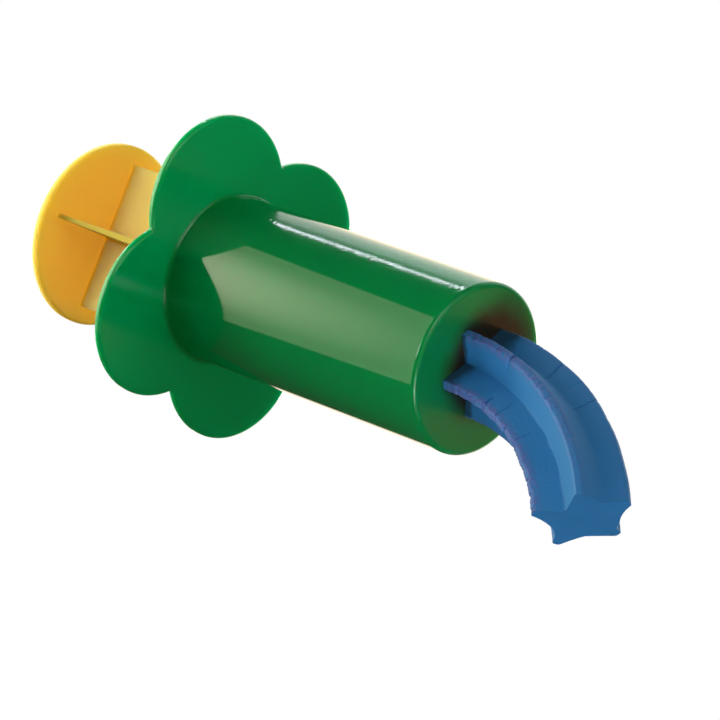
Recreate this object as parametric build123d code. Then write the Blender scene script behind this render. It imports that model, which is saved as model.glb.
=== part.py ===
from build123d import *

import math
import os

# A hand-pushed modelling clay extruder: a barrel with a petal flange for the fingers, a plunger for
# the thumb, and the clay that it presses out of a star-shaped hole.
# Frame: +X runs along the barrel's axis to the nozzle, +Z is up as the tool is held level, and the
# pressed-out clay bends down in the XZ plane. The origin is on the axis, halfway between the
# flange's front face and the nozzle's face.
# Lengths are in millimetres. Angles about the axis are in degrees, from +Y towards +Z.

# Barrel
barrel_length = 81.0  # flange's front face to nozzle face
barrel_radius = 20.0
barrel_wall = 1.4
front_wall = 2.5
nozzle_edge_radius = 1.2
bore_corner_radius = 1.0
mouth_chamfer = 0.5

# Finger flange, in one moulding with the barrel
petal_count = 4
petal_radius = 20.7
petal_centre_radius = 19.8
petal_angle = 51.5
notch_radius = 0.8
flange_thickness = 2.0
flange_edge_radius = 0.7
flange_root_radius = 1.2

# Star-shaped hole in the front wall
star_points = 5
star_tip_radius = 10.9
star_valley_radius = 4.9
star_tip_width = 2.4
star_corner_radius = 0.4
star_angle = 84.0

# Plunger: thumb disc, crossed ribs and piston in one moulding
disc_radius = 22.4
disc_thickness = 2.4
disc_edge_radius = 0.7
rib_count = 4
rib_thickness_at_disc = 1.0
rib_thickness_at_piston = 2.0
rib_angle = 14.0
rib_root_radius = 0.8
piston_thickness = 3.0
piston_chamfer = 0.8
push_left = 39.6  # how far the plunger can still be pushed in

# Clearances
piston_clearance = 0.15  # piston to bore
rib_clearance = 0.45  # ribs to bore
disc_stop_gap = 0.7  # thumb disc to flange, pushed right in
piston_end_gap = 0.5  # piston to front wall, pushed right in
clay_gap = 0.1  # clay to bore and to star hole
charge_gap = 0.3  # clay charge to piston

# Pressed-out clay
strand_length = 54.6  # along its centre line, from the nozzle's face
strand_bend_radius = 59.0  # of its centre line
strand_tip_radius = 11.0  # at its far end
strand_valley_radius = 6.9  # at its far end, where the clay has swollen
strand_tip_width = 2.0
strand_sections = 6

# Places along the axis
nozzle_x = barrel_length / 2
flange_front_x = nozzle_x - barrel_length
flange_rear_x = flange_front_x - flange_thickness
front_wall_x = nozzle_x - front_wall
piston_front_x = front_wall_x - piston_end_gap - push_left
disc_front_x = flange_rear_x - disc_stop_gap - push_left
disc_rear_x = disc_front_x - disc_thickness

# Radii of what runs in the bore
bore_radius = barrel_radius - barrel_wall
piston_radius = bore_radius - piston_clearance
rib_radius = bore_radius - rib_clearance
charge_radius = bore_radius - clay_gap


def across(x):
    """The plane square to the axis at x, with its own x along +Y and its own y along +Z."""
    return Plane(origin=(x, 0, 0), x_dir=(0, 1, 0), z_dir=(1, 0, 0))


def disc(radius, x_start, x_end):
    """A round disc or rod on the axis, from x_start to x_end."""
    return extrude(across(x_start) * Circle(radius), x_end - x_start)


def star(tip_radius, valley_radius, tip_width):
    """The star outline, with blunt points and softened corners."""
    corners = []
    for point in range(star_points):
        turn = star_angle + 360 * point / star_points
        arm = [(tip_radius, -tip_width / 2), (tip_radius, tip_width / 2)]
        corners += [Vector(*corner).rotate(Axis.Z, turn) for corner in arm]
        corners.append(Vector(valley_radius, 0).rotate(Axis.Z, turn + 180 / star_points))
    outline = make_face(Polyline(*corners, close=True))
    return fillet(outline.vertices(), star_corner_radius)


def petals():
    """The flange's outline: overlapping circles, one for each petal."""
    outline = Circle(petal_centre_radius)
    for petal in range(petal_count):
        turn = petal_angle + 360 * petal / petal_count
        outline += Rot(0, 0, turn) * Pos(petal_centre_radius, 0) * Circle(petal_radius)
    notches = outline.vertices().filter_by(lambda corner: corner.center().length > petal_centre_radius)
    return fillet(notches, notch_radius)


def make_barrel():
    """Tube, finger flange and front wall in one moulding."""
    flange = extrude(across(flange_rear_x) * petals(), flange_thickness)
    rims = flange.faces().filter_by(Axis.X).edges()
    flange = fillet(rims, flange_edge_radius)
    tube = disc(barrel_radius, flange_rear_x, nozzle_x)
    tube = fillet(tube.edges().sort_by(Axis.X)[-1], nozzle_edge_radius)
    body = flange + tube
    root = [
        edge
        for edge in body.edges().filter_by(GeomType.CIRCLE)
        if abs(edge.center().X - flange_front_x) < 1e-3 and abs(edge.radius - barrel_radius) < 1e-3
    ]
    body = fillet(root, flange_root_radius)
    bore = disc(bore_radius, flange_rear_x, front_wall_x)
    bore = fillet(bore.edges().sort_by(Axis.X)[-1], bore_corner_radius)
    mouth = Solid.make_cone(
        bore_radius + mouth_chamfer,
        bore_radius,
        mouth_chamfer,
        plane=across(flange_rear_x),
    )
    hole = extrude(
        across(front_wall_x) * star(star_tip_radius, star_valley_radius, star_tip_width), front_wall
    )
    return body - bore - mouth - hole


def rib_cross(thickness):
    """The outline of the crossed ribs where they are that thick."""
    cross = Sketch()
    for rib in range(rib_count):
        blade = Pos(rib_radius / 2, 0) * Rectangle(rib_radius, thickness)
        cross += Rot(0, 0, rib_angle + 360 * rib / rib_count) * blade
    roots = cross.vertices().filter_by(lambda corner: corner.center().length < rib_radius / 2)
    return fillet(roots, rib_root_radius)


def make_plunger():
    """Thumb disc, crossed ribs and piston in one moulding."""
    thumb_disc = disc(disc_radius, disc_rear_x, disc_front_x)
    thumb_disc = fillet(thumb_disc.edges(), disc_edge_radius)
    piston_rear_x = piston_front_x - piston_thickness
    piston = disc(piston_radius, piston_rear_x, piston_front_x)
    piston = chamfer(piston.edges(), piston_chamfer)
    ribs = loft(
        [
            across(disc_front_x) * rib_cross(rib_thickness_at_disc),
            across(piston_rear_x) * rib_cross(rib_thickness_at_piston),
        ],
        ruled=True,
    )
    return thumb_disc + ribs + piston


def make_clay_charge():
    """The clay still in the bore, between the piston and the front wall."""
    charge = disc(charge_radius, piston_front_x + charge_gap, front_wall_x)
    return fillet(charge.edges().sort_by(Axis.X)[-1], bore_corner_radius)


def strand_plane(length):
    """The plane across the pressed-out clay, that length along its centre line from the nozzle."""
    angle = length / strand_bend_radius
    forward = strand_bend_radius * math.sin(angle)
    down = strand_bend_radius * (1 - math.cos(angle))
    return Plane(
        origin=(nozzle_x + forward, 0, -down),
        x_dir=(0, 1, 0),
        z_dir=(math.cos(angle), 0, -math.sin(angle)),
    )


def make_clay_strand():
    """The clay that has left the star hole: a neck in the hole, then a star section that swells and bends."""
    neck_tip = star_tip_radius - clay_gap
    neck_valley = star_valley_radius - clay_gap
    neck_width = star_tip_width - 2 * clay_gap
    neck = extrude(across(front_wall_x) * star(neck_tip, neck_valley, neck_width), front_wall)
    sections = []
    for step in range(strand_sections):
        along = step / (strand_sections - 1)
        swell = 1 - (1 - along) ** 2
        section = star(
            neck_tip + swell * (strand_tip_radius - neck_tip),
            neck_valley + swell * (strand_valley_radius - neck_valley),
            neck_width + swell * (strand_tip_width - neck_width),
        )
        sections.append(strand_plane(along * strand_length) * section)
    return neck + loft(sections)


nodes = {
    "barrel": make_barrel(),
    "plunger": make_plunger(),
    "clay_charge": make_clay_charge(),
    "clay_strand": make_clay_strand(),
}

os.makedirs("parts", exist_ok=True)
for name, shape in nodes.items():
    export_step(shape, f"parts/{name}.step")
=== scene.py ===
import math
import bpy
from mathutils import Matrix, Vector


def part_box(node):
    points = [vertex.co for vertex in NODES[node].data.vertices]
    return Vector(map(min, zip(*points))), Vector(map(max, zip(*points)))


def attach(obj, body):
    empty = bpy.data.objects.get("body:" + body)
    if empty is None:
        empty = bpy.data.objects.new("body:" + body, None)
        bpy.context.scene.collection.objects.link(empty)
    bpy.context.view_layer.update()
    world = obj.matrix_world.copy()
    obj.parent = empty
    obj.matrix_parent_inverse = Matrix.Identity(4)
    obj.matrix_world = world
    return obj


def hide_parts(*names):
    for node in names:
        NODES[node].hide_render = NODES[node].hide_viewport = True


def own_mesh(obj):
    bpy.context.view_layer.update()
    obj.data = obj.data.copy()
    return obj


bl_info = {
    "name": "Clay Extruder Studio",
    "version": (1, 0, 0),
    "blender": (4, 5, 0),
    "location": "View3D > Sidebar > Clay Extruder",
    "description": "Finishes the hand clay extruder: moulded plastic, soft clay and a small photo studio",
    "category": "Object",
}

import bpy
from bpy.props import FloatProperty, FloatVectorProperty, IntProperty, PointerProperty
import numpy as np
from mathutils import Matrix, Vector, noise

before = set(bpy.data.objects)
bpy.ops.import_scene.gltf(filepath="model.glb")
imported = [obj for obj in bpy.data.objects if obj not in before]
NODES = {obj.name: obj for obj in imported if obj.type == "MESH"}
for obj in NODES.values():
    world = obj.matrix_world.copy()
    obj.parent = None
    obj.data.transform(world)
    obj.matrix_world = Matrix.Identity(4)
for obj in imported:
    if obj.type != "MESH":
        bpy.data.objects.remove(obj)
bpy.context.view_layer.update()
CAD_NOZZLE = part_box("barrel")[1][0]


def linear(code):
    """An sRGB hex colour as linear RGBA, which Blender's sockets take."""
    parts = [int(code[i:i + 2], 16) / 255 for i in (1, 3, 5)]
    return tuple(c / 12.92 if c <= 0.04045 else ((c + 0.055) / 1.055) ** 2.4 for c in parts) + (1.0,)


def add_node(tree, kind, inputs=None, **settings):
    """Adds a node with its settings, then sets each named input or links it to the socket given for it."""
    made = tree.nodes.new(kind)
    for name, value in settings.items():
        setattr(made, name, value)
    for name, value in (inputs or {}).items():
        if isinstance(value, bpy.types.NodeSocket):
            tree.links.new(value, made.inputs[name])
        else:
            made.inputs[name].default_value = value
    return made


def per_metre(millimetres):
    """Texture scale at which one feature of that size repeats."""
    return 1000.0 / millimetres


def shade(colour, shares):
    """A colour whose red, green and blue are cut to those shares."""
    return tuple(c * k for c, k in zip(colour[:3], shares)) + (1.0,)


# ---------------------------------------------------------------- settings

class PlasticSettings(bpy.types.PropertyGroup):
    green: FloatVectorProperty(
        name="Barrel green", description="Colour moulded into the barrel",
        subtype="COLOR", size=4, min=0, max=1, default=linear("#008A48"))
    yellow: FloatVectorProperty(
        name="Plunger yellow", description="Colour moulded into the plunger",
        subtype="COLOR", size=4, min=0, max=1, default=linear("#F3BF34"))
    # Painted shade: this dark brown round the star hole stands in for the shade that the clay throws on the
    # nozzle's face.
    face_shade: FloatVectorProperty(
        name="Face shade brown", description="Colour of the painted shade on the nozzle's face round the star hole",
        subtype="COLOR", size=4, min=0, max=1, default=linear("#342A16"))
    gloss: FloatProperty(
        name="Barrel roughness", description="Roughness of the polished barrel",
        subtype="FACTOR", min=0, max=1, default=0.07)
    worn_gloss: FloatProperty(
        name="Flange roughness", description="Roughness of the handled flange",
        subtype="FACTOR", min=0, max=1, default=0.14)
    satin: FloatProperty(
        name="Plunger roughness", description="Roughness of the satin plunger",
        subtype="FACTOR", min=0, max=1, default=0.42)


class ClaySettings(bpy.types.PropertyGroup):
    blue: FloatVectorProperty(
        name="Clay blue", description="Colour of the modelling clay",
        subtype="COLOR", size=4, min=0, max=1, default=linear("#3886CA"))
    # Painted highlight: a lighter, duller blue on the outer part of the ragged ridges, where they catch the
    # light.
    ridge_highlight: FloatVectorProperty(
        name="Ridge highlight blue", description="Colour of the painted highlight on the clay's ragged ridges",
        subtype="COLOR", size=4, min=0, max=1, default=linear("#5A72B8"))
    # Painted shade: a dark blue on the clay's flanks next to the hole, where the nozzle and the fins shade
    # them.
    clay_shade: FloatVectorProperty(
        name="Clay shade blue", description="Colour of the painted shade on the clay where it leaves the hole",
        subtype="COLOR", size=4, min=0, max=1, default=linear("#1E3A44"))
    tip_radius: FloatProperty(
        name="Star tip radius", description="Axis to the tips of the star hole",
        unit="LENGTH", min=0, default=0.0109)
    hole_valley: FloatProperty(
        name="Star valley radius", description="Axis to the valleys of the star hole",
        unit="LENGTH", min=0, default=0.0049)
    tip_width: FloatProperty(
        name="Star tip width", description="Width of the blunt star tips",
        unit="LENGTH", min=0, default=0.0022)
    star_turn: FloatProperty(
        name="Star turn", description="Turn of the first tip from +Y towards +Z",
        unit="ROTATION", subtype="ANGLE", default=math.radians(84))
    length: FloatProperty(
        name="Strand length", description="Length of the strand from the nozzle to its cut end",
        unit="LENGTH", min=0, default=0.0546)
    bend_radius: FloatProperty(
        name="Strand bend radius", description="Radius on which the strand droops",
        unit="LENGTH", min=0, default=0.059)
    rings: IntProperty(
        name="Strand rings", description="Even cross sections along the strand", min=20, default=190)


class StudioSettings(bpy.types.PropertyGroup):
    floor_height: FloatProperty(
        name="Floor height", description="Height of the floor under the barrel's axis",
        unit="LENGTH", default=-0.5)
    lens: FloatProperty(
        name="Focal length", description="Focal length on a 36 mm sensor",
        subtype="DISTANCE_CAMERA", min=1, default=218.3)


class ExtruderSettings(bpy.types.PropertyGroup):
    plastic: PointerProperty(type=PlasticSettings)
    clay: PointerProperty(type=ClaySettings)
    studio: PointerProperty(type=StudioSettings)


# ---------------------------------------------------------------- materials

# Where the barrel's finish changes along its axis, in metres: the start and the end of each change.
TO_FLANGE = (-0.0385, -0.0402)
TO_TUBE = (-0.037, -0.034)
TO_NOZZLE_FACE = (0.0392, 0.0402)
# The painted shade on the nozzle's face round the star hole: its middle, and the radii at which it starts
# and is full.
FACE_SHADE_MIDDLE = (0.0, 0.0020, 0.0025)
FACE_SHADE_REACH = (0.0140, 0.0075)
FACE_SHADE_UNEVEN = -0.004  # how much further out its blotches reach, in metres
FACE_DULLING = 0.25  # roughness that the clay has added to the nozzle's face
# The side that the tool is laid on: its direction, and how far out its scuffs start and are full.
LAID_SIDE = (0.0, -0.788, 0.616)
LAID_REACH = (0.0188, 0.0197)
SCUFF_DULLING = 0.06  # roughness that the scuffs have added
SCUFF_DEPTH = 0.00005
# How far light spreads in the plastics, in metres, for a colour whose own share is 1.
GLOW_DEPTH = 0.008


def new_material(name):
    """An empty node material and its tree."""
    material = bpy.data.materials.new(name)
    material.use_nodes = True
    material.node_tree.nodes.clear()
    return material, material.node_tree


def polished_plastic(settings):
    """Polystyrene, injection moulded in a polished tool."""
    # To the eye: a clean mirror gloss over an even, deep green that light passes into.
    material, tree = new_material("polystyrene moulded glossy green")
    place = add_node(tree, "ShaderNodeTexCoord").outputs["Object"]
    # Pigment flow: a faint drift of the green over about 30 mm.
    flow = add_node(tree, "ShaderNodeTexNoise", {"Vector": place, "Scale": per_metre(30), "Detail": 1.0})
    colour = add_node(tree, "ShaderNodeMix", {
        "Factor": flow.outputs["Fac"], "A": shade(settings.green, (0.92, 0.92, 0.92)),
        "B": tuple(settings.green)}, data_type="RGBA")
    split = add_node(tree, "ShaderNodeSeparateXYZ", {"Vector": place})
    # The flange is handled most, so its polish has gone softer than the tube's.
    worn = add_node(tree, "ShaderNodeMapRange", {
        "Value": split.outputs["X"], "From Min": TO_FLANGE[0], "From Max": TO_FLANGE[1],
        "To Min": settings.gloss, "To Max": settings.worn_gloss})
    # Painted shade on the nozzle's face round the star hole, where the clay shades it: a dark brown that
    # fades out over 6.5 mm, with an uneven edge.
    flat = add_node(tree, "ShaderNodeVectorMath", {0: place, 1: (0.0, 1.0, 1.0)}, operation="MULTIPLY")
    from_axis = add_node(tree, "ShaderNodeVectorMath", {0: flat.outputs[0], 1: FACE_SHADE_MIDDLE},
                         operation="DISTANCE")
    shade_wobble = add_node(tree, "ShaderNodeTexNoise", {"Vector": place, "Scale": per_metre(9), "Detail": 2.0})
    uneven = add_node(tree, "ShaderNodeMath", {
        0: shade_wobble.outputs["Fac"], 1: FACE_SHADE_UNEVEN, 2: from_axis.outputs["Value"]}, operation="MULTIPLY_ADD")
    ring = add_node(tree, "ShaderNodeMapRange", {
        "Value": uneven.outputs[0], "From Min": FACE_SHADE_REACH[0], "From Max": FACE_SHADE_REACH[1]},
        interpolation_type="SMOOTHSTEP")
    front = add_node(tree, "ShaderNodeMapRange", {
        "Value": split.outputs["X"], "From Min": TO_NOZZLE_FACE[0], "From Max": TO_NOZZLE_FACE[1]})
    face_shade_share = add_node(tree, "ShaderNodeMath", {0: ring.outputs[0], 1: front.outputs[0]},
                    operation="MULTIPLY")
    shaded_face = add_node(tree, "ShaderNodeMix", {
        "Factor": face_shade_share.outputs[0], "A": colour.outputs["Result"], "B": tuple(settings.face_shade)},
        data_type="RGBA")
    # The clay has dulled the whole of the nozzle's face.
    polish = add_node(tree, "ShaderNodeMath", {
        0: front.outputs[0], 1: FACE_DULLING, 2: worn.outputs[0]}, operation="MULTIPLY_ADD")
    # Scuffs on the side that the tool is laid on: short strokes round the tube, which break a highlight
    # into sparks. Real ones are finer, and these are drawn 0.9 mm apart so that they show.
    side = add_node(tree, "ShaderNodeVectorMath", {0: place, 1: LAID_SIDE}, operation="DOT_PRODUCT")
    laid = add_node(tree, "ShaderNodeMapRange", {
        "Value": side.outputs["Value"], "From Min": LAID_REACH[0], "From Max": LAID_REACH[1]})
    turned = add_node(tree, "ShaderNodeMapping", {
        "Vector": place, "Rotation": (0.0, 0.25, 0.35), "Scale": (1.0, 0.35, 0.35)})
    scuff = add_node(tree, "ShaderNodeTexNoise", {
        "Vector": turned.outputs[0], "Scale": per_metre(0.9), "Detail": 2.0})
    tube = add_node(tree, "ShaderNodeMapRange", {
        "Value": split.outputs["X"], "From Min": TO_TUBE[0], "From Max": TO_TUBE[1]})
    marked = add_node(tree, "ShaderNodeMath", {0: laid.outputs[0], 1: tube.outputs[0]},
                      operation="MULTIPLY")
    bump = add_node(tree, "ShaderNodeBump", {
        "Height": scuff.outputs["Fac"], "Strength": marked.outputs[0], "Distance": SCUFF_DEPTH})
    dulled = add_node(tree, "ShaderNodeMath", {
        0: marked.outputs[0], 1: SCUFF_DULLING, 2: polish.outputs[0]}, operation="MULTIPLY_ADD")
    # Polystyrene's IOR is 1.59. At 1.5 its reflections are as strong as the real barrel's.
    shader = add_node(tree, "ShaderNodeBsdfPrincipled", {
        "Base Color": shaded_face.outputs["Result"], "Roughness": dulled.outputs[0], "IOR": 1.5,
        "Normal": bump.outputs[0], "Subsurface Weight": 1.0, "Subsurface Radius": (0.1, 1.0, 0.9),
        "Subsurface Scale": GLOW_DEPTH})
    add_node(tree, "ShaderNodeOutputMaterial", {"Surface": shader.outputs[0]})
    return material


def satin_plastic(settings):
    """Polypropylene, injection moulded in a blasted tool."""
    # To the eye: a soft sheen without a mirror image, over a warm yellow that light passes into.
    material, tree = new_material("polypropylene moulded satin yellow")
    place = add_node(tree, "ShaderNodeTexCoord").outputs["Object"]
    # Pigment flow: a drift towards orange over about 25 mm.
    flow = add_node(tree, "ShaderNodeTexNoise", {"Vector": place, "Scale": per_metre(25), "Detail": 1.0})
    colour = add_node(tree, "ShaderNodeMix", {
        "Factor": flow.outputs["Fac"], "A": shade(settings.yellow, (0.97, 0.9, 0.8)),
        "B": tuple(settings.yellow)}, data_type="RGBA")
    # Blasted tool grain. The real one is finer, and this is drawn at 0.25 mm so that it shows.
    grain = add_node(tree, "ShaderNodeTexNoise", {
        "Vector": place, "Scale": per_metre(0.25), "Detail": 1.0})
    bump = add_node(tree, "ShaderNodeBump", {
        "Height": grain.outputs["Fac"], "Strength": 0.12, "Distance": 0.0001})
    shader = add_node(tree, "ShaderNodeBsdfPrincipled", {
        "Base Color": colour.outputs["Result"], "Roughness": settings.satin, "IOR": 1.49,
        "Specular IOR Level": 0.12, "Normal": bump.outputs[0], "Subsurface Weight": 1.0,
        "Subsurface Radius": (1.0, 1.0, 1.15), "Subsurface Scale": GLOW_DEPTH})
    add_node(tree, "ShaderNodeOutputMaterial", {"Surface": shader.outputs[0]})
    return material


def modelling_clay(settings):
    """Air-drying modelling clay, pressed through a die."""
    # To the eye: matte and faintly mottled, with a dragged skin. Its ragged ridges carry a duller,
    # purple-grey painted highlight, and painted shade darkens some flanks where they leave the hole.
    material, tree = new_material("modelling clay pressed blue")
    place = add_node(tree, "ShaderNodeTexCoord").outputs["Object"]
    # Mottle of the kneaded clay, 6 mm.
    mottle = add_node(tree, "ShaderNodeTexNoise", {"Vector": place, "Scale": per_metre(6), "Detail": 3.0})
    body = add_node(tree, "ShaderNodeMix", {
        "Factor": mottle.outputs["Fac"], "A": shade(settings.blue, (0.7, 0.9, 0.88)),
        "B": tuple(settings.blue)}, data_type="RGBA")
    # Painted highlight on the outer part of the ragged ridges, in place of the light that they catch.
    ridge_highlight = add_node(tree, "ShaderNodeAttribute", attribute_name="ridge_highlight")
    ridged = add_node(tree, "ShaderNodeMix", {
        "Factor": ridge_highlight.outputs["Fac"], "A": body.outputs["Result"], "B": tuple(settings.ridge_highlight)},
        data_type="RGBA")
    # Painted shade on the flanks next to the hole, in place of the shade that falls there.
    hole_shade = add_node(tree, "ShaderNodeAttribute", attribute_name="hole_shade")
    colour = add_node(tree, "ShaderNodeMix", {
        "Factor": hole_shade.outputs["Fac"], "A": ridged.outputs["Result"], "B": tuple(settings.clay_shade)},
        data_type="RGBA")
    # Crumb of the clay's filler. The real one is about 0.4 mm, and this is drawn at 0.8 mm so that it shows.
    crumb = add_node(tree, "ShaderNodeTexNoise", {
        "Vector": place, "Scale": per_metre(0.8), "Detail": 4.0})
    rough = add_node(tree, "ShaderNodeBump", {
        "Height": crumb.outputs["Fac"], "Strength": 0.3, "Distance": 0.0003})
    # Drag lines that the die left along the strand, 0.7 mm apart. The grain is in millimetres.
    drawn = add_node(tree, "ShaderNodeAttribute", attribute_name="grain")
    lines = add_node(tree, "ShaderNodeTexNoise", {
        "Vector": drawn.outputs["Vector"], "Scale": 1 / 0.7, "Detail": 2.0})
    bump = add_node(tree, "ShaderNodeBump", {
        "Height": lines.outputs["Fac"], "Strength": 0.25, "Distance": 0.0002, "Normal": rough.outputs[0]})
    shader = add_node(tree, "ShaderNodeBsdfPrincipled", {
        "Base Color": colour.outputs["Result"], "Roughness": 0.6, "IOR": 1.45, "Specular IOR Level": 0.3,
        "Normal": bump.outputs[0]})
    add_node(tree, "ShaderNodeOutputMaterial", {"Surface": shader.outputs[0]})
    return material


def clay_material(settings):
    """The one clay material, which both pieces of clay share."""
    return bpy.data.materials.get("modelling clay pressed blue") or modelling_clay(settings)


def dress(node, material):
    """Gives a piece of the frame that material alone."""
    node.data.materials.clear()
    node.data.materials.append(material)


# ---------------------------------------------------------------- clay shapes

FINS = ("top right", "top left", "left", "bottom", "right")
FIN_ANGLE = 360 / len(FINS)
# At the cut end, where the clay has swollen and its fins have leaned over, with one value for each fin
# and lengths in metres: its tip's radius, the radius of the valley after it, its lean in degrees, how
# hollow the flanks into that valley are, and how far the tip stands short of the cut.
END_TIPS = (0.0116, 0.0109, 0.0113, 0.0110, 0.0104)
END_VALLEYS = (0.0081, 0.0056, 0.0070, 0.0066, 0.0083)
END_LEANS = (6.0, 0.0, -3.0, 0.0, 9.0)
END_HOLLOWS = (0.0, 0.0001, 0.0006, 0.0002, 0.0008)
CUT_SHORT = (0.0004, 0.0, 0.0004, 0.0002, 0.0004)
# Splits across the fins' flanks, where the bend pulls the clay open: fin, side (+1 towards the next
# fin), distance from the nozzle, radii at its two ends, slant, depth and width.
SPLITS = (
    (0, 1, 0.0190, 0.0055, 0.0104, -0.45, 0.00045, 0.00022),
    (0, 1, 0.0304, 0.0062, 0.0106, -0.30, 0.00045, 0.00020),
    (0, 1, 0.0247, 0.0080, 0.0106, -0.20, 0.00015, 0.00018),
    (0, 1, 0.0115, 0.0085, 0.0106, -0.20, 0.00015, 0.00018),
    (1, 1, 0.0140, 0.0078, 0.0112, 0.10, 0.00060, 0.00040),
    (1, 1, 0.0098, 0.0095, 0.0112, 0.10, 0.00030, 0.00025),
    (2, -1, 0.0150, 0.0078, 0.0112, 0.25, 0.00060, 0.00045),
    (2, -1, 0.0205, 0.0060, 0.0104, 0.15, 0.00018, 0.00016),
    (2, -1, 0.0310, 0.0065, 0.0104, 0.15, 0.00018, 0.00016),
    (3, 1, 0.0170, 0.0070, 0.0106, 0.20, 0.00030, 0.00022),
    (3, -1, 0.0290, 0.0070, 0.0106, 0.20, 0.00030, 0.00022),
    (4, 1, 0.0230, 0.0065, 0.0106, 0.20, 0.00030, 0.00022),
    (4, -1, 0.0380, 0.0065, 0.0106, 0.20, 0.00030, 0.00022),
)
# How rough the die left each fin's ridge, at the nozzle and at the cut.
RAGGED = ((0.4, 0.2), (2.0, 0.2), (2.4, 1.6), (0.9, 0.6), (0.7, 0.5))
# Flanks with painted shade where they leave the hole, which stands in for the shade there: fin, side, and
# how far from the nozzle.
SHADED_FLANKS = (
    (0, 1, 0.0075),
    (1, -1, 0.0075),
    (1, 1, 0.0012),
    (2, -1, 0.0042),
    (2, 1, 0.0030),
    (3, -1, 0.0030),
)
# Points along each flank and each blunt tip, and star outlines between which the strand changes.
FLANK_STEPS, TIP_STEPS = 15, 8
OUTLINES = 12
NECK_DEPTH = 0.0022  # how far back into the hole the strand is made
NECK_GAP = 0.00015  # what the strand leaves free of the hole's edge
SMOOTH_START = 0.0025  # the strand's first stretch, over which its skin roughens
RIDGE_HEIGHT = 0.0016  # the ragged outer part of each fin
LUMP_HEIGHT = 0.00018
CRUMB_HEIGHT = 0.00013
TEAR_DEPTH = 0.0007
SPLIT_REACH = 0.004  # how far along the strand a slanting split is looked for
SPLIT_MARGIN = 0.0014  # the stretch on each side of a split that has closer rings
SPLIT_WAVE = 0.00025  # how far a split wanders off its line
SPLIT_FADE = 0.0008  # over which a split fades out at its two ends
SPLIT_PAST = 0.0012  # how far past its outer radius it is gone
# How far in from the rim the rings of a closed end lie, as shares of the way to its middle.
END_LEVELS = (0.03, 0.1, 0.2, 0.32, 0.45, 0.6, 0.75, 0.88)
DRAG_HEIGHT = 0.00007  # what the knife left on the cut
# The packed clay: points around it, its steps along the skin and across an end, and its dents' mean depth.
CHARGE_AROUND, CHARGE_ALONG, CHARGE_ACROSS = 96, 30, 8
CHARGE_SKIN = 0.0002
SOFT_EDGE = 0.0006  # how far along the axis its softened edges reach
SOFT_EDGE_SHARE = 0.985  # its radius at the softened edges


def ramp(value, start, length):
    """0 up to the start, 1 from that length past it, and even in between."""
    return np.clip((value - start) / length, 0, 1)


def noise_at(spots, scale):
    """Smooth noise from -1 to 1 at each spot, with features of about that size in millimetres."""
    return np.array([noise.noise(Vector(spot) / scale) for spot in spots])


def star_outline(settings, tips, valleys, leans, hollows, width, soften):
    """The closed star, fin by fin: valley, blunt tip, valley. Softened that many times, most at its tips."""
    def at(radius, angle):
        return radius * np.array([math.cos(angle), math.sin(angle)])
    outline = []
    for k in range(len(FINS)):
        turn = settings.star_turn + math.radians(FIN_ANGLE * k)
        own = turn + math.radians(leans[k])
        half = at(width / 2, own + math.pi / 2)
        corners = [at(valleys[k - 1], turn - math.radians(FIN_ANGLE / 2)), at(tips[k], own) - half,
                   at(tips[k], own) + half, at(valleys[k], turn + math.radians(FIN_ANGLE / 2))]
        steps = (FLANK_STEPS, TIP_STEPS, FLANK_STEPS)
        hollow = (hollows[k - 1], 0.0, hollows[k])
        for a, b, count, depth in zip(corners, corners[1:], steps, hollow):
            inward = np.array([a[1] - b[1], b[0] - a[0]]) / math.dist(a, b)
            share = np.linspace(0, 1, count, endpoint=False)[:, None]
            outline.append(a + (b - a) * share + inward * depth * 4 * share * (1 - share))
    outline = np.concatenate(outline)
    near_tip = ramp(np.hypot(*outline.T), 0.007, 0.003)[:, None]
    for _ in range(soften):
        mean = (np.roll(outline, 1, 0) + 2 * outline + np.roll(outline, -1, 0)) / 4
        outline += (mean - outline) * (0.25 + 0.75 * near_tip)
    return outline


def strand_outlines(settings, stations):
    """The star at each station, from the hole's own at 0 to the swollen and leaning one at 1."""
    outlines = []
    for along in stations:
        swell = 1 - (1 - along) ** 2
        tips = [settings.tip_radius + (end - settings.tip_radius) * swell for end in END_TIPS]
        valleys = [settings.hole_valley + (end - settings.hole_valley) * swell for end in END_VALLEYS]
        leans = [lean * swell for lean in END_LEANS]
        hollows = [hollow * swell for hollow in END_HOLLOWS]
        width = settings.tip_width * (1 - 0.2 * swell)
        outlines.append(star_outline(settings, tips, valleys, leans, hollows, width, 3))
    return np.array(outlines)


def strand_rings(settings):
    """Distances of the cross sections from the nozzle's face: even, and closer at the splits."""
    even = np.linspace(-NECK_DEPTH, settings.length, settings.rings)
    close = [np.linspace(split[2] - SPLIT_MARGIN, split[2] + SPLIT_MARGIN, 25) for split in SPLITS]
    return np.unique(np.round(np.concatenate([even] + close), 5))


def split_depths(distance, spots, reach, fin, side):
    """How deep the splits cut each point of the cross section at that distance."""
    cut = np.zeros(len(reach))
    for which, on, where, near, far, slant, depth, width in SPLITS:
        if abs(distance - where) > SPLIT_REACH:
            continue
        mine = (fin == which) & ((side == on) | (side == 0))
        line = where + slant * (reach - (near + far) / 2) + SPLIT_WAVE * noise_at(spots * (0, 1, 1), 1.3)
        window = ramp(reach, near, SPLIT_FADE) * ramp(far + SPLIT_PAST - reach, 0, SPLIT_FADE)
        # A split opens with a sharp lip on the nozzle's side and runs out gently on the other.
        off = distance - line
        groove = np.exp(-(off / np.where(off < 0, 0.45 * width, 1.8 * width)) ** 2) * window * mine
        cut = np.maximum(cut, groove * depth)
    return cut


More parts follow.
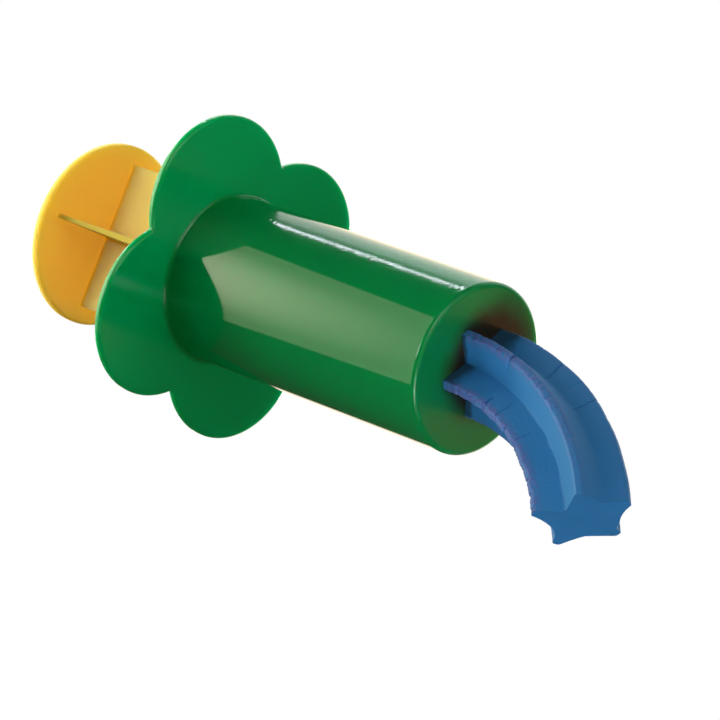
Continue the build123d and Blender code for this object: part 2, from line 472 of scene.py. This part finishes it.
def hole_shade_shares(distance, spots, fin, side):
    """How much painted shade each point of the cross section at that distance gets, from 0 to 0.8."""
    darkness = np.zeros(len(fin))
    for which, on, until in SHADED_FLANKS:
        fade = np.clip(1.6 - 1.6 * distance / until + 0.5 * noise_at(spots, 2.5), 0, 0.8)
        darkness = np.maximum(darkness, fade * (fin == which) * (side == on))
    return darkness


def bend_section(settings, own, section):
    """A cross section in place on the strand's arc, with each point at its own distance from the nozzle."""
    radius = settings.bend_radius
    bend = np.maximum(own, 0) / radius
    x = CAD_NOZZLE + np.minimum(own, 0) + radius * np.sin(bend) + section[:, 1] * np.sin(bend)
    z = -radius * (1 - np.cos(bend)) + section[:, 1] * np.cos(bend)
    return np.stack([x, section[:, 0], z], 1)


def end_rings(edge, normal):
    """Rings that close an end flat inside its rim, with a faint drag left by the knife, and its middle."""
    middle = edge.mean(0)
    proud = (edge - middle) @ normal
    rings = []
    for level in END_LEVELS:
        ring = edge * (1 - level) + middle * level
        drag = noise_at(ring * 1000 * (1, 0.4, 1), 3.0) * DRAG_HEIGHT * min(1, level * 8)
        sink = proud * ((1 - level) - max(0.0, 1 - level / 0.3) ** 2)
        rings.append(ring + normal * (drag - sink)[:, None])
    return rings, middle


def side_faces(rows, around):
    """The quads between rows of that many points each."""
    first = np.arange(around)
    following = (first + 1) % around
    return [np.stack([first, following, following + around, first + around], 1) + row * around
            for row in range(rows - 1)]


def fan_faces(edge, middle):
    """The triangles from a closed edge to its middle point."""
    return np.stack([edge, np.roll(edge, -1), np.full(len(edge), middle)], 1)


def make_strand(settings):
    """The star strand: a blunt star at the hole, then ridges ragged with tears, swelling valleys and a cut
    end.
    """
    stations = np.linspace(0, 1, OUTLINES)
    outlines = strand_outlines(settings, stations)
    per_fin = 2 * FLANK_STEPS + TIP_STEPS
    count = per_fin * len(FINS)
    fin = np.arange(count) // per_fin
    place = np.arange(count) % per_fin
    side = np.where(place < FLANK_STEPS, -1.0, np.where(place < FLANK_STEPS + TIP_STEPS, 0.0, 1.0))
    turn = settings.star_turn + np.radians(FIN_ANGLE) * fin
    across = np.stack([-np.sin(turn), np.cos(turn)], 1)
    short = np.array(CUT_SHORT)[fin]
    rings = strand_rings(settings)
    points, ridge_highlight, hole_shade, grain = [], [], [], []
    for distance in rings:
        along = max(distance, 0) / settings.length
        at = along * (len(stations) - 1)
        k = min(int(at), len(stations) - 2)
        section = outlines[k] * (1 - at + k) + outlines[k + 1] * (at - k)
        if distance <= 0:
            section = section * (1 - NECK_GAP / settings.tip_radius)
        reach = np.hypot(*section.T)
        outward = section / reach[:, None]
        spots = np.stack([np.full(count, distance), section[:, 0], section[:, 1]], 1) * 1000
        # The skin: lumps all over, and crumbs and tears on the ridges.
        ragged = (np.array(RAGGED) @ (1 - along, along))[fin]
        ridge = ramp(reach, settings.tip_radius - RIDGE_HEIGHT, RIDGE_HEIGHT)
        free = ramp(distance, 0, SMOOTH_START)
        lump = noise_at(spots, 7.0)
        fine = noise_at(spots * (1, 2.2, 2.2) + 31, 0.9)
        tear = noise_at(np.stack([spots[:, 0], fin * 9.0, side * 0.6], 1), 1.6)
        roughness = CRUMB_HEIGHT * fine - TEAR_DEPTH * ramp(tear, 0.28, 1)
        push = LUMP_HEIGHT * lump + ragged * ridge * roughness
        section = section + outward * (push * free)[:, None]
        # The splits go into a flank square to its fin, and into a tip towards the axis.
        cut = split_depths(distance, spots, reach, fin, side)
        inward = across * (-np.where(side == 0, 0.0, side))[:, None] - outward * (side == 0)[:, None]
        section = section + inward * cut[:, None]
        # The knife's cut stands back at some of the tips.
        last = ramp(along, 0.85, 0.15) ** 1.5
        own = distance - short * ramp(reach, 0.006, 0.005) * last
        points.append(bend_section(settings, own, section))
        # Painted highlight on the outer part of the ridges, strongest where they are most ragged.
        ridge_highlight.append(ridge * ragged * free * np.clip(0.45 + 0.9 * fine, 0, 1))
        # Painted shade on the flanks listed above, fading out with the distance from the hole.
        hole_shade.append(hole_shade_shares(distance, spots, fin, side))
        grain.append(np.stack([spots[:, 0] * 0.15, spots[:, 1], spots[:, 2]], 1))
    points, ridge_highlight, hole_shade, grain = (np.concatenate(rows) for rows in (points, ridge_highlight, hole_shade, grain))
    faces = side_faces(len(rings), count)
    cut_angle = settings.length / settings.bend_radius
    for first, angle, turned in ((0, 0.0, -1), (len(points) - count, cut_angle, 1)):
        last = first + np.arange(count)
        inner_rings, middle = end_rings(points[last], np.array([math.cos(angle), 0, -math.sin(angle)]))
        for ring in inner_rings:
            inner = len(points) + np.arange(count)
            points = np.concatenate([points, ring])
            quads = np.stack([last, np.roll(last, -1), np.roll(inner, -1), inner], 1)
            faces.append(quads[:, ::turned])
            last = inner
        faces.append(fan_faces(last, len(points))[:, ::turned])
        points = np.concatenate([points, [middle]])
    # The ends get neither the ridges' painted highlight nor the painted shade, and their grain doesn't run
    # along the strand.
    ends = len(points) - len(grain)
    ridge_highlight, hole_shade = (np.append(mask, np.zeros(ends)) for mask in (ridge_highlight, hole_shade))
    grain = np.concatenate([grain, points[-ends:] * 1000])
    return make_piece("pressed_clay", points, faces, {"ridge_highlight": ridge_highlight, "hole_shade": hole_shade}, grain)


def make_piece(name, points, faces, masks, grain):
    """A smooth-shaded mesh object, with the clay's masks and its grain coordinates in millimetres."""
    mesh = bpy.data.meshes.new(name)
    mesh.from_pydata(points.tolist(), [], [f for block in faces for f in block.tolist()])
    for mask, values in masks.items():
        mesh.attributes.new(mask, "FLOAT", "POINT").data.foreach_set("value", values.astype(np.float32))
    vectors = grain.astype(np.float32).ravel()
    mesh.attributes.new("grain", "FLOAT_VECTOR", "POINT").data.foreach_set("vector", vectors)
    mesh.polygons.foreach_set("use_smooth", [True] * len(mesh.polygons))
    mesh.update()
    mesh.set_sharp_from_angle(angle=math.radians(50))
    piece = bpy.data.objects.new(name, mesh)
    bpy.context.scene.collection.objects.link(piece)
    return piece


def make_charge():
    """The clay in the barrel: a packed slug, pressed flat by the piston, with a slightly lumpy skin."""
    low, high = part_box("clay_charge")
    radius, around = high[1], CHARGE_AROUND
    piston_end, nozzle_end = low[0] + CHARGE_SKIN, high[0]
    # Rings from the piston to the nozzle: a flat end, a softened edge, the skin, and back again.
    flat = [radius * k / CHARGE_ACROSS for k in range(1, CHARGE_ACROSS)]
    profile = [(piston_end, r) for r in flat]
    profile += [(low[0] + (CHARGE_SKIN + SOFT_EDGE), radius * SOFT_EDGE_SHARE)]
    profile += [(low[0] + (high[0] - low[0]) * k / CHARGE_ALONG, radius) for k in range(1, CHARGE_ALONG)]
    profile += [(high[0] - SOFT_EDGE, radius * SOFT_EDGE_SHARE)]
    profile += [(nozzle_end, r) for r in reversed(flat)]
    turns = np.linspace(0, 2 * math.pi, around, endpoint=False)
    ring = np.stack([np.zeros(around), np.cos(turns), np.sin(turns)], 1)
    rows = []
    for x, r in profile:
        row = ring * r + (x, 0, 0)
        # The flat ends have no dents.
        dent = CHARGE_SKIN * (1 + noise_at(row * 1000, 6.0)) if r > flat[-1] else np.zeros(around)
        rows.append(row - ring * dent[:, None])
    points = np.concatenate(rows + [[(piston_end, 0, 0), (nozzle_end, 0, 0)]])
    on_axis = len(points) - 2
    faces = side_faces(len(rows), around)
    faces.append(fan_faces(np.arange(around), on_axis)[:, ::-1])
    faces.append(fan_faces(on_axis - around + np.arange(around), on_axis + 1))
    return make_piece("packed_clay", points, faces, {}, points * 1000)


# ---------------------------------------------------------------- operators

class EXTRUDER_OT_barrel(bpy.types.Operator):
    """Gives the barrel with its flower flange the polished green plastic"""
    bl_idname = "clay_extruder.barrel"
    bl_label = "Barrel"

    def execute(self, context):
        dress(NODES["barrel"], polished_plastic(context.scene.clay_extruder.plastic))
        return {"FINISHED"}


class EXTRUDER_OT_plunger(bpy.types.Operator):
    """Gives the plunger the satin yellow plastic"""
    bl_idname = "clay_extruder.plunger"
    bl_label = "Plunger"

    def execute(self, context):
        dress(NODES["plunger"], satin_plastic(context.scene.clay_extruder.plastic))
        return {"FINISHED"}


class EXTRUDER_OT_packed_clay(bpy.types.Operator):
    """Packs the clay between the piston and the nozzle"""
    bl_idname = "clay_extruder.packed_clay"
    bl_label = "Packed Clay"

    def execute(self, context):
        piece = make_charge()
        piece.data.materials.append(clay_material(context.scene.clay_extruder.clay))
        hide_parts("clay_charge")
        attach(piece, "barrel")
        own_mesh(piece)
        return {"FINISHED"}


class EXTRUDER_OT_pressed_clay(bpy.types.Operator):
    """Presses the star strand out of the nozzle"""
    bl_idname = "clay_extruder.pressed_clay"
    bl_label = "Pressed Clay"

    def execute(self, context):
        settings = context.scene.clay_extruder.clay
        piece = make_strand(settings)
        piece.data.materials.append(clay_material(settings))
        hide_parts("clay_strand")
        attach(piece, "barrel")
        return {"FINISHED"}


# ---------------------------------------------------------------- studio

# The viewpoint of the picture: where the camera stands, and which ways are right, down and deep in it.
CAMERA_PLACE = (0.66303, -0.71580, -0.2000)
CAMERA_RIGHT = Vector((0.70285, 0.50885, 0.49707))
CAMERA_DOWN = Vector((0.26061, 0.46599, -0.84554))
CAMERA_DEPTH = Vector((-0.66188, 0.72383, 0.19491))
FLOOR_HALF = 3  # half of the floor's side, in metres
# The backdrop sheet's middle, seen along the axis, and its colours low down and higher up as radiances.
SHEET_TOWARDS = (0.0, 0.866, 0.5)
SHEET_CREAM = (1.8, 1.5, 1.15, 1.0)
SHEET_COOL = (1.2, 1.4, 1.4, 1.0)
DARK_ROOM = (0.04, 0.032, 0.022, 1.0)
WHITE = (1, 1, 1, 1)


def add_camera(settings):
    """The camera at the picture's viewpoint."""
    camera = bpy.data.cameras.new("camera")
    camera.sensor_width = 36
    camera.lens = settings.lens
    camera.clip_start, camera.clip_end = 0.05, 20
    holder = bpy.data.objects.new("camera", camera)
    turn = Matrix((CAMERA_RIGHT, -CAMERA_DOWN, -CAMERA_DEPTH)).transposed().to_4x4()
    holder.matrix_world = Matrix.Translation(CAMERA_PLACE) @ turn
    bpy.context.scene.collection.objects.link(holder)
    bpy.context.scene.camera = holder


def painted_floor():
    """Matte white paint on a smooth board."""
    # To the eye: plain and pale. The object mirrors it as dark brown, like a wooden bench.
    material, tree = new_material("studio floor painted white")
    path = add_node(tree, "ShaderNodeLightPath")
    tone = add_node(tree, "ShaderNodeMix", {
        "Factor": path.outputs["Is Camera Ray"], "A": linear("#382A1C"), "B": linear("#E6E2DA")},
        data_type="RGBA")
    shader = add_node(tree, "ShaderNodeBsdfPrincipled", {
        "Base Color": tone.outputs["Result"], "Roughness": 0.8, "Specular IOR Level": 0.1})
    add_node(tree, "ShaderNodeOutputMaterial", {"Surface": shader.outputs[0]})
    return material


def add_floor(settings):
    """A square floor under the object."""
    half, height = FLOOR_HALF, settings.floor_height
    mesh = bpy.data.meshes.new("floor")
    corners = [(-half, -half, height), (half, -half, height), (half, half, height), (-half, half, height)]
    mesh.from_pydata(corners, [], [(0, 1, 2, 3)])
    floor = bpy.data.objects.new("floor", mesh)
    bpy.context.scene.collection.objects.link(floor)
    floor.data.materials.append(painted_floor())


def add_world():
    """White to the camera. The object is lit by a backdrop sheet in a dark room, and mirrors both."""
    world = bpy.data.worlds.new("studio")
    world.use_nodes = True
    tree = world.node_tree
    tree.nodes.clear()
    look = add_node(tree, "ShaderNodeTexCoord").outputs["Generated"]
    # The sheet fills one quarter behind the object, on its +Y and +Z side: cream low down, cooler higher up.
    flat = add_node(tree, "ShaderNodeVectorMath", {0: look, 1: (0.0, 1.0, 1.0)}, operation="MULTIPLY")
    round_x = add_node(tree, "ShaderNodeVectorMath", {0: flat.outputs[0]}, operation="NORMALIZE")
    toward = add_node(tree, "ShaderNodeVectorMath", {0: round_x.outputs[0], 1: SHEET_TOWARDS},
                      operation="DOT_PRODUCT")
    edge = add_node(tree, "ShaderNodeMapRange", {
        "Value": toward.outputs["Value"], "From Min": 0.55, "From Max": 0.70},
        interpolation_type="SMOOTHSTEP")
    axis = add_node(tree, "ShaderNodeSeparateXYZ", {"Vector": look})
    behind = add_node(tree, "ShaderNodeMapRange", {
        "Value": axis.outputs["X"], "From Min": 0.3, "From Max": 0.1}, interpolation_type="SMOOTHSTEP")
    lobe = add_node(tree, "ShaderNodeMath", {0: edge.outputs[0], 1: behind.outputs[0]},
                    operation="MULTIPLY")
    height = add_node(tree, "ShaderNodeMapRange", {
        "Value": axis.outputs["Z"], "From Min": 0.42, "From Max": 0.72})
    sheet = add_node(tree, "ShaderNodeMix", {
        "Factor": height.outputs[0], "A": SHEET_CREAM, "B": SHEET_COOL}, data_type="RGBA")
    colour = add_node(tree, "ShaderNodeMix", {
        "Factor": lobe.outputs[0], "A": DARK_ROOM, "B": sheet.outputs["Result"]}, data_type="RGBA")
    dim = add_node(tree, "ShaderNodeBackground", {"Color": colour.outputs["Result"], "Strength": 1.0})
    white = add_node(tree, "ShaderNodeBackground", {"Color": WHITE, "Strength": 1.0})
    path = add_node(tree, "ShaderNodeLightPath")
    mixed = add_node(tree, "ShaderNodeMixShader", {
        0: path.outputs["Is Camera Ray"], 1: dim.outputs[0], 2: white.outputs[0]})
    add_node(tree, "ShaderNodeOutputWorld", {"Surface": mixed.outputs[0]})
    bpy.context.scene.world = world


def fade_lamp(lamp, middle):
    """Makes a lamp bright in its middle, which is that share of it, and faint at its rim."""
    lamp.use_nodes = True
    tree = lamp.node_tree
    tree.nodes.clear()
    spot = add_node(tree, "ShaderNodeNewGeometry").outputs["Parametric"]
    off = add_node(tree, "ShaderNodeVectorMath", {0: spot, 1: (0.5, 0.5, 0.0)}, operation="DISTANCE")
    fade = add_node(tree, "ShaderNodeMapRange", {
        "Value": off.outputs["Value"], "From Min": 0.0, "From Max": middle, "To Min": 1.0, "To Max": 0.15},
        interpolation_type="SMOOTHSTEP")
    glow = add_node(tree, "ShaderNodeEmission", {"Color": WHITE, "Strength": fade.outputs[0]})
    add_node(tree, "ShaderNodeOutputLight", {"Surface": glow.outputs[0]})


def add_panel(name, centre, aim, width, height, radiance, colour, up=(0, 0, 1), hot=0.0, spread=180):
    """A lamp panel that faces its aim. hot is the share of it that is bright, and spread is in degrees."""
    lamp = bpy.data.lights.new(name, "AREA")
    lamp.shape = "RECTANGLE"
    lamp.size, lamp.size_y = width, height
    lamp.energy = radiance * math.pi * width * height
    lamp.color = linear(colour)[:3]
    lamp.spread = math.radians(spread)
    if hot:
        fade_lamp(lamp, hot)
    holder = bpy.data.objects.new(name, lamp)
    back = (Vector(centre) - Vector(aim)).normalized()
    side = Vector(up).cross(back).normalized()
    turn = Matrix((side, back.cross(side), back)).transposed().to_4x4()
    holder.matrix_world = Matrix.Translation(centre) @ turn
    holder.visible_camera = False
    bpy.context.scene.collection.objects.link(holder)


def add_lamps():
    """The lamps: name, centre, aim, width, height, radiance and colour of each."""
    add_panel("side softbox", (-0.455, -0.295, -0.092), (0, 0, 0), 0.5, 0.77, 8.8, "#FFF6D8",
              up=(0, -0.3, 0.954), hot=0.45)
    add_panel("top strip", (-0.67, -0.035, 0.74), (0, 0, 0), 0.03, 0.5, 20, "#F0F8FF",
              up=(0.74, 0, 0.67))
    add_panel("front fill", (0.78, -0.22, 0.39), (0, 0, 0), 0.6, 0.6, 0.9, "#FFF8EE")
    add_panel("upper left fill", (0.57, -0.70, 0.285), (0, 0, 0), 0.55, 0.55, 1.8, "#FFFFFF")
    add_panel("rear lamp", (-0.93, -0.215, 0.33), (-0.04, 0, 0), 0.2, 0.2, 28, "#FFF8EE")
    add_panel("right lamp", (-0.15, 0.93, 0.28), (-0.04, 0, 0), 0.3, 0.3, 22, "#FFF8EE")
    add_panel("low fill", (0.19, -0.04, -0.13), (0.085, 0, -0.02), 0.12, 0.12, 0.5, "#FFFFFF", spread=33)
    add_panel("left fill", (-0.36, -0.78, -0.25), (0, 0, 0), 0.25, 0.25, 7, "#FFFFFF")
    add_panel("brown card", (0.145, 0.115, 0.031), (0.04, 0, 0), 0.055, 0.055, 1.3, "#D8A070")


class EXTRUDER_OT_studio(bpy.types.Operator):
    """Sets the floor, the backdrop light, the lamps and the camera"""
    bl_idname = "clay_extruder.studio"
    bl_label = "Studio"

    def execute(self, context):
        settings = context.scene.clay_extruder.studio
        add_camera(settings)
        add_floor(settings)
        add_world()
        add_lamps()
        context.scene.view_settings.view_transform = "Standard"
        return {"FINISHED"}


class EXTRUDER_PT_panel(bpy.types.Panel):
    """Lists the extruder's settings and the steps that make it"""
    bl_idname = "EXTRUDER_PT_panel"
    bl_label = "Clay Extruder"
    bl_space_type = "VIEW_3D"
    bl_region_type = "UI"
    bl_category = "Clay Extruder"

    def draw(self, context):
        settings = context.scene.clay_extruder
        for group, steps in ((settings.plastic, (EXTRUDER_OT_barrel, EXTRUDER_OT_plunger)),
                             (settings.clay, (EXTRUDER_OT_packed_clay, EXTRUDER_OT_pressed_clay)),
                             (settings.studio, (EXTRUDER_OT_studio,))):
            box = self.layout.box()
            for name in group.bl_rna.properties.keys():
                if name not in ("rna_type", "name"):
                    box.prop(group, name)
            for step in steps:
                box.operator(step.bl_idname)


CLASSES = (
    PlasticSettings, ClaySettings, StudioSettings, ExtruderSettings,
    EXTRUDER_OT_barrel, EXTRUDER_OT_plunger, EXTRUDER_OT_packed_clay, EXTRUDER_OT_pressed_clay,
    EXTRUDER_OT_studio, EXTRUDER_PT_panel,
)


def register():
    for item in CLASSES:
        bpy.utils.register_class(item)
    bpy.types.Scene.clay_extruder = PointerProperty(type=ExtruderSettings)


def unregister():
    del bpy.types.Scene.clay_extruder
    for item in reversed(CLASSES):
        bpy.utils.unregister_class(item)


def main():
    register()
    bpy.ops.clay_extruder.studio()
    bpy.ops.clay_extruder.barrel()
    bpy.ops.clay_extruder.plunger()
    bpy.ops.clay_extruder.packed_clay()
    bpy.ops.clay_extruder.pressed_clay()


if __name__ == "__main__":
    main()
